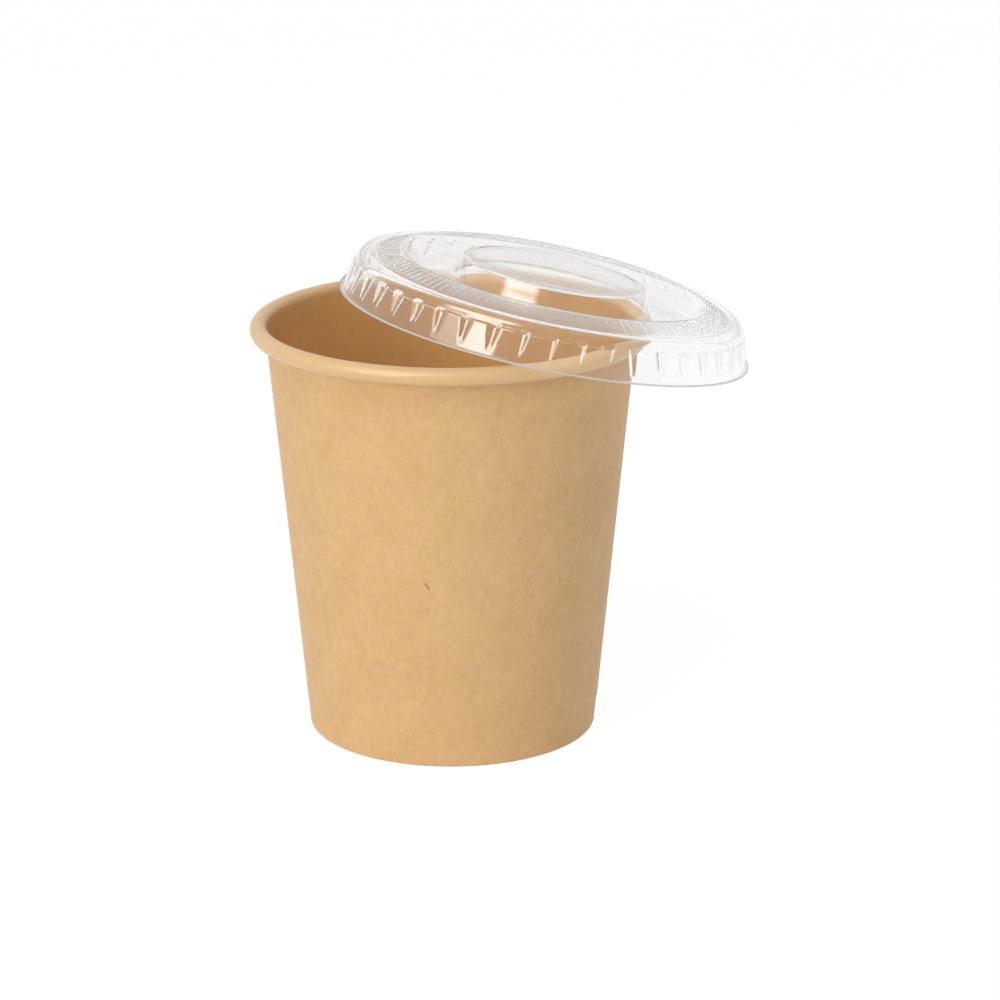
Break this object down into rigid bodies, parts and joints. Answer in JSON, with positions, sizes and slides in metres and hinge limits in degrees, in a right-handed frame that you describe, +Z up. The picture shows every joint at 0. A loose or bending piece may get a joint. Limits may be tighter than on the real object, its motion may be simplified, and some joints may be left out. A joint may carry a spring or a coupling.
{
  "type": "paper portion cup",
  "caption": "Small tapered kraft paper portion cup with a rolled rim and a recessed bottom, its clear flat lid resting askew on the rim.",
  "frame": {"origin": "centre of the cup's standing edge, on the plane it stands on", "axes": "+Z up along the cup's axis, +X toward the lid's low side and over the side seam, -Y toward the viewer's front"},
  "size_m": [0.0774, 0.0646, 0.076],
  "materials": {
    "kraft_board": "matte",
    "kraft_disc": "matte",
    "clear_sheet": "gloss"
  },
  "bodies": {
    "root": {"sidewall": "kraft_board", "bottom_disc": "kraft_disc", "lid": "clear_sheet"}
  },
  "joints": []
}
